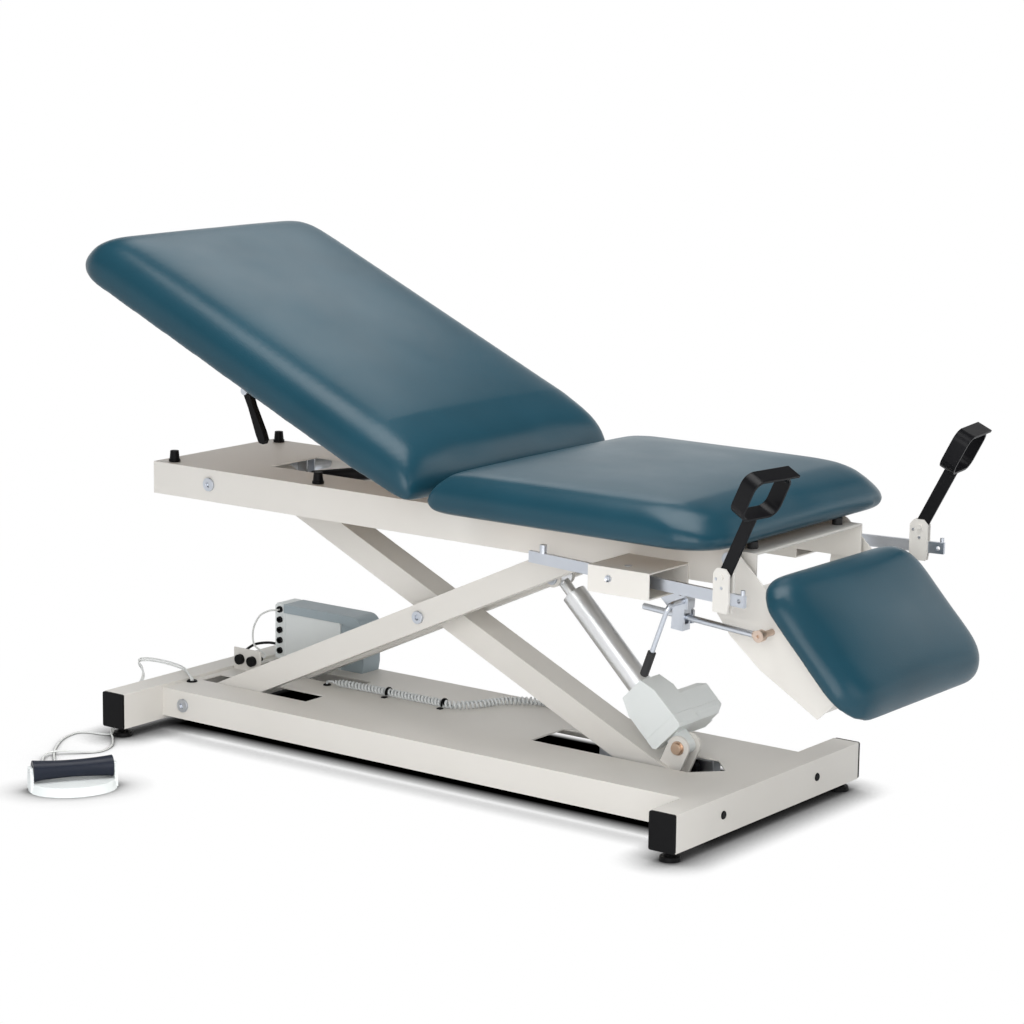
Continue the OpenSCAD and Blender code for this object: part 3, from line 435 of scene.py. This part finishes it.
# End caps, hole plugs, levelling feet, clips, sockets and plugs: black moulded plastic pushed into place.
# Their faces are slightly pebbled and their rims are soft.
black_plastic = add_mottle(shaded("black_plastic", (0.004, 0.004, 0.0045), 0.5, gloss=0.12),
                           blotch=25, grain=1400, depth=0.3, bump=0.3, reach=0.0004)
for node, edge in (("crossbar_caps", 1.2), ("levelling_feet", 0.8), ("cord_clips", 0.5),
                   ("control_sockets", 0.5), ("connector_plugs", 0.6)):
    edged(node, edge, black_plastic)

# Tracks, axles, bolts and brackets: zinc-plated steel with a faint blue cast and drawn streaks.
# Plating dulls in patches, so both the colour and the gloss wander a little.
def add_height(material, height):
    """Adds a second height to the bump of a mottled material."""
    tree = material.node_tree
    total = tree.nodes.new("ShaderNodeMath")
    total.operation = "ADD"
    tree.links.new(tree.nodes["Group"].outputs["Height"], total.inputs[0])
    tree.links.new(height, total.inputs[1])
    tree.links.new(total.outputs[0], tree.nodes["Bump"].inputs["Height"])


def streaked(name, colour, roughness, stretch):
    """Plated or drawn metal: the mottle with streaks along one axis."""
    material = add_mottle(shaded(name, colour, roughness, metallic=1.0),
                          blotch=14, grain=500, depth=0.3, bump=0.05, reach=0.0004)
    tree = material.node_tree
    place = tree.nodes.new("ShaderNodeTexCoord")
    turn = tree.nodes.new("ShaderNodeMapping")
    turn.inputs["Scale"].default_value = stretch
    lines = tree.nodes.new("ShaderNodeTexNoise")
    lines.inputs["Scale"].default_value = 60
    lines.inputs["Detail"].default_value = 3
    tree.links.new(place.outputs["Object"], turn.inputs["Vector"])
    tree.links.new(turn.outputs["Vector"], lines.inputs["Vector"])
    add_height(material, lines.outputs["Fac"])
    return material


zinc = streaked("zinc", (0.56, 0.59, 0.64), 0.32, (1, 12, 12))
for node, edge in (("base_tracks", 0.6), ("base_axle", 0.8), ("upper_axle", 0.6), ("centre_bolt", 0.8),
                   ("top_tracks", 0.6), ("top_axle", 0.8), ("hinge_brackets", 0.8), ("clamp_bracket", 0.8),
                   ("leg_hinge_bolts", 0.8), ("back_leaves", 0.6), ("gas_rod", 0.5), ("clamp_block", 1.0),
                   ("guide_near", 1.0), ("guide_far", 1.0)):
    edged(node, edge, zinc)

# Stirrup bars, clamp lever and support rod: plated too, each with a band in another finish.
# The bars carry enamelled holders, the lever ends in a rubber grip and the rod in a coppered eye.
def two_tone(base, name, colour, roughness, metallic, along, middle, half):
    """A copy of a finish that changes within a band across one direction, placed in millimetres."""
    material = base.copy()
    material.name = name
    tree = material.node_tree
    shader = tree.nodes["Principled BSDF"]
    place = tree.nodes.new("ShaderNodeTexCoord")
    reach = tree.nodes.new("ShaderNodeVectorMath")
    reach.operation = "DOT_PRODUCT"
    reach.inputs[1].default_value = along
    band = tree.nodes.new("ShaderNodeMath")
    band.operation = "COMPARE"
    band.inputs[1].default_value = middle * MM
    band.inputs[2].default_value = half * MM
    tree.links.new(place.outputs["Object"], reach.inputs[0])
    tree.links.new(reach.outputs["Value"], band.inputs[0])
    for label, other, kind in (("Base Color", (*colour, 1), "RGBA"), ("Roughness", roughness, "FLOAT"),
                               ("Metallic", metallic, "FLOAT")):
        socket = shader.inputs[label]
        mix = tree.nodes.new("ShaderNodeMix")
        mix.data_type = kind
        mix.inputs["B"].default_value = other
        if socket.is_linked:
            tree.links.new(socket.links[0].from_socket, mix.inputs["A"])
        else:
            mix.inputs["A"].default_value = socket.default_value
        tree.links.new(band.outputs[0], mix.inputs["Factor"])
        tree.links.new(mix.outputs["Result"], socket)
    return material


cream, rubber, coppered = (0.66, 0.64, 0.60), (0.006, 0.006, 0.007), (0.60, 0.48, 0.40)
along_x = Vector((1, 0, 0))
splay = math.radians(8.5)
swivel_at = Vector((570, -282.4, 0))
far_drawn = 38
holder_at, holder_half = 230.5, 19
for node, side, drawn in (("bar_near", 1, 0), ("bar_far", -1, far_drawn)):
    along = Vector((math.cos(splay), -side * math.sin(splay), 0))
    middle = along.dot(Vector((swivel_at.x, side * swivel_at.y, 0))) + holder_at + drawn
    finish = two_tone(zinc, node + "_finish", cream, roughness=0.45, metallic=0,
                      along=along, middle=middle, half=holder_half)
    edged(node, 0.8, finish)
lever_lean, lever_at = math.radians(200.3), Vector((670.5, 0, 473.3))
grip_out, grip_half = 122.5, 25
lever_axis = Vector((math.sin(lever_lean), 0, math.cos(lever_lean)))
grip_at = lever_axis.dot(lever_at) + grip_out
edged("clamp_lever", 0.8, two_tone(zinc, "lever_finish", rubber, roughness=0.6, metallic=0,
                                   along=lever_axis, middle=grip_at, half=grip_half))
rod_eye_x, rod_eye_half = 829, 14
edged("support_rod", 0.8, two_tone(zinc, "rod_finish", coppered, roughness=0.4, metallic=1,
                                   along=along_x, middle=rod_eye_x, half=rod_eye_half))

# Control box: pale moulded case with a blue-grey lid that turns down over the foot end.
# Both have a fine spark-eroded texture.
pale_plastic = add_mottle(shaded("pale_plastic", (0.76, 0.79, 0.78), 0.42),
                          blotch=12, grain=1500, depth=0.12, bump=0.2, reach=0.0003)
grey_plastic = add_mottle(shaded("grey_plastic", (0.33, 0.39, 0.42), 0.4),
                          blotch=12, grain=1500, depth=0.15, bump=0.2, reach=0.0003)
edged("control_case", 2.0, pale_plastic)
edged("control_lid", 2.5, grey_plastic, steps=3)

# Foot control: a low pale base with a dark rubbery roller across it that rocks either way.
# The roller is waisted, with a soft sheen.
navy_plastic = add_mottle(shaded("navy_plastic", (0.010, 0.014, 0.026), 0.4, gloss=0.25),
                          blotch=30, grain=1200, depth=0.2, bump=0.2, reach=0.0004)
edged("pedal_base", 1.6, pale_plastic)
edged("pedal_roller", 1.2, navy_plastic)

# Lift legs: two outer tubes and one inner tube, welded, bored and powder coated as the base is.
# Their rollers are black plastic, and the actuator's bolt has a copper tint.
for node in ("outer_legs", "inner_leg"):
    edged(node, 3, powder_coat)
for node in ("upper_rollers", "lower_rollers"):
    edged(node, 1, black_plastic)
copper = streaked("copper_plate", (0.60, 0.44, 0.33), 0.35, (1, 1, 8))
edged("lower_axle", 0.6, copper)

# Lift actuator: a moulded gear housing and motor cover, with a bare aluminium tube and rod.
# The housing is pinned to the inner leg, and the rod pushes the outer legs up.
edged("gear_housing", 3, pale_plastic, steps=3)
edged("motor_cover", 4, pale_plastic, steps=3)
aluminium = streaked("aluminium", (0.72, 0.73, 0.74), 0.36, (6, 6, 1))
edged("actuator_tube", 0.8, aluminium)
edged("actuator_rod", 0.6, aluminium)

# Top frame: a long folded pan on the lift, with spacers, stirrup boxes and the leg section's tray.
# All are sheet steel in the same powder coat, and the round stops on top of the pan are black.
for node, edge in (("top_pan", 1.2), ("stirrup_boxes", 1.5), ("leg_tray", 1.0)):
    edged(node, edge, powder_coat)
stop_x, stop_half = 752, 12
edged("seat_spacers", 1, two_tone(powder_coat, "spacer_finish", rubber, roughness=0.6, metallic=0,
                                  along=along_x, middle=stop_x, half=stop_half))
edged("back_bumpers", 1.2, black_plastic)

# Boards under the pads: plywood, sawn to shape and set into the upholstery from below.
# The grain runs along the table.
plywood = add_mottle(shaded("plywood", (0.36, 0.25, 0.15), 0.6),
                     blotch=4, grain=300, depth=0.5, bump=0.2, reach=0.0006)
for node in ("seat_board", "back_board", "leg_board"):
    edged(node, 1, plywood)

# Backrest hardware: a black release lever, and a gas spring with a black cylinder and plated rod.
# The lever is moulded, and the cylinder is painted steel.
black_paint = add_mottle(shaded("black_paint", (0.004, 0.004, 0.005), 0.38, gloss=0.16),
                         blotch=10, grain=700, depth=0.2, bump=0.12, reach=0.0005)
edged("release_lever", 3, black_plastic, steps=3)
edged("gas_cylinder", 1, black_paint)

# Stirrup arms: flat steel arms and foot loops in black satin paint.
# They fold on the plated bars.
for node in ("arm_near", "arm_far"):
    edged(node, 1.0, black_paint)

# Small fasteners: a socket screw in the outer face of each stirrup box, and two rivets in each holder.
# They are plated as the bars are.
def heads(name, node, spots, out, radius, height, socket):
    """Tapered fastener heads on a face, at spots in millimetres, with a round socket or none."""
    top_radius, socket_depth = 0.85 * radius, 0.6 * height
    bm = bmesh.new()
    turn = Vector(out).to_track_quat("Z", "Y").to_matrix().to_4x4()
    for spot in spots:
        seat = Matrix.Translation((Vector(spot) + Vector(out) * height / 2) * MM) @ turn
        made = bmesh.ops.create_cone(bm, segments=24, radius1=radius * MM, radius2=top_radius * MM,
                                     depth=height * MM, cap_ends=True, matrix=seat)
        if socket:
            faces = {f for v in made["verts"] for f in v.link_faces}
            top = max(faces, key=lambda f: f.calc_center_median().dot(Vector(out)))
            bmesh.ops.inset_individual(bm, faces=[top], thickness=(top_radius - socket) * MM)
            bmesh.ops.translate(bm, verts=top.verts, vec=-Vector(out) * socket_depth * MM)
    mesh = bpy.data.meshes.new(name)
    bm.to_mesh(mesh)
    bm.free()
    mesh.materials.append(zinc)
    piece = bpy.data.objects.new(name, mesh)
    scene.collection.objects.link(piece)
    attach(piece, body_of[node])


box_face, plate_face = 318, 8
screw_x, screw_z = 551, 509
rivet_spots = ((232, 527), (219, 542))
for name, node, side, drawn in (("near", "bar_near", 1, 0), ("far", "bar_far", -1, far_drawn)):
    heads(name + "_box_screw", "stirrup_boxes", [(screw_x, -side * box_face, screw_z)], (0, -side, 0),
          radius=7, height=3.5, socket=3.2)
    along = Vector((math.cos(splay), -side * math.sin(splay), 0))
    outer = Vector((-side * along.y, side * along.x, 0)) * -side
    rivets = []
    for u, z in rivet_spots:
        foot = Vector((swivel_at.x, side * swivel_at.y, 0)) + along * (u + drawn) + outer * plate_face
        rivets.append((foot.x, foot.y, z))
    heads(name + "_holder_rivets", node, rivets, outer, radius=3, height=1.2, socket=0)

# Seat, backrest and leg section pads: foam on a board, under slate-blue vinyl drawn tight.
# The vinyl has a fine leather grain and a soft sheen, and the foam crowns each pad.
vinyl = add_mottle(shaded("vinyl", (0.009, 0.050, 0.075), 0.32, gloss=0.3),
                   blotch=6, grain=260, depth=0.25, bump=0.22, reach=0.0004)
tree = vinyl.node_tree
place = tree.nodes.new("ShaderNodeTexCoord")
pebbles = tree.nodes.new("ShaderNodeTexVoronoi")
pebbles.feature = "SMOOTH_F1"
pebbles.inputs["Scale"].default_value = 520
pebbles.inputs["Smoothness"].default_value = 0.6
tree.links.new(place.outputs["Object"], pebbles.inputs["Vector"])
add_height(vinyl, pebbles.outputs["Distance"])


def settle(piece):
    """Turns what a piece's modifiers make of it into its own mesh."""
    made = bpy.data.meshes.new_from_object(piece.evaluated_get(bpy.context.evaluated_depsgraph_get()))
    piece.modifiers.clear()
    piece.data = made


def ramp(value, start, end):
    """How far a value is on its way from start to end, from 0 to 1."""
    return min(max((value - start) / (end - start), 0), 1)


def upholstered(node, name, lean, hinged, crown, side_fall, end_fall, plump, rounds, voxel):
    """A pad from its plain solid: drawn in a little, then blown up by cloth simulation within limits.

    Smoothing rounds it, and the foam then fills it out again with a crown, but not at its hinged ends,
    which are given as -1 for the head side and 1 for the foot side. Its long sides and free end fall away.
    """
    draw_in, swell, frames = 1.5, 7, 16
    mesh = frame["nodes"][node].data.copy()
    mesh.name = name
    bm = bmesh.new()
    bm.from_mesh(mesh)
    bmesh.ops.remove_doubles(bm, verts=bm.verts, dist=same_spot)
    bm.normal_update()
    for v in bm.verts:
        v.co -= v.normal * draw_in * MM
    bm.to_mesh(mesh)
    bm.free()
    mesh.materials.clear()
    mesh.materials.append(vinyl)
    piece = bpy.data.objects.new(name, mesh)
    scene.collection.objects.link(piece)
    fine = piece.modifiers.new("fine", "REMESH")
    fine.mode = "VOXEL"
    fine.voxel_size = voxel
    settle(piece)
    start = [v.co.copy() for v in piece.data.vertices]
    outward = [v.normal.copy() for v in piece.data.vertices]
    cloth = piece.modifiers.new("stuffing", "CLOTH")
    cloth.settings.use_pressure = True
    cloth.settings.uniform_pressure_force = 12
    cloth.settings.effector_weights.gravity = 0
    cloth.settings.quality = 5
    cloth.settings.tension_stiffness = 15
    cloth.settings.compression_stiffness = 15
    cloth.settings.shear_stiffness = 5
    cloth.settings.bending_stiffness = 0.5
    for number in range(1, frames + 1):
        scene.frame_set(number)
    settle(piece)
    scene.frame_set(1)
    for v, old, out in zip(piece.data.vertices, start, outward):
        v.co = old + out * min(max((v.co - old).dot(out), -draw_in * MM), swell * MM)
    bm = bmesh.new()
    bm.from_mesh(piece.data)
    for _ in range(rounds):
        bmesh.ops.smooth_vert(bm, verts=bm.verts, factor=0.5, use_axis_x=True, use_axis_y=True,
                              use_axis_z=True)
    bm.normal_update()
    facing = Vector((math.sin(lean), 0, math.cos(lean)))
    along = Vector((math.cos(lean), 0, -math.sin(lean)))
    runs = [v.co.dot(along) for v in bm.verts]
    first, last = min(runs), max(runs)
    half_width = max(v.co.y for v in bm.verts)
    for v, run in zip(bm.verts, runs):
        u = 2 * (run - first) / (last - first) - 1
        w = v.co.y / half_width
        up = v.normal.dot(facing)
        fill = plump * ramp(up, -0.95, -0.55)
        for end in hinged:
            fill *= ramp(end * u, 1, 0.7)
        rounded = crown * max(up, 0) * (1 - u * u) * max(1 - w * w, 0)
        free = 0 if any(end * u > 0 for end in hinged) else u
        drop = (side_fall * w ** 4 + end_fall * free ** 8) * ramp(up, -0.3, 0.3)
        v.co += (v.normal * (fill + rounded) - facing * drop) * MM
    bm.to_mesh(piece.data)
    bm.free()
    piece.data.shade_smooth()
    soft = piece.modifiers.new("soft", "SUBSURF")
    soft.levels = 1
    soft.render_levels = 1
    stand_in(piece, node)


upholstered("seat_cushion", "seat_pad", lean=0, hinged=(-1, 1), crown=5, side_fall=3, end_fall=0,
            plump=5, rounds=16, voxel=0.008)
upholstered("back_cushion", "backrest_pad", lean=math.radians(24), hinged=(1,), crown=4, side_fall=5,
            end_fall=10, plump=11, rounds=24, voxel=0.009)
upholstered("leg_cushion", "leg_pad", lean=math.radians(47), hinged=(-1,), crown=12, side_fall=3,
            end_fall=3, plump=5, rounds=16, voxel=0.008)
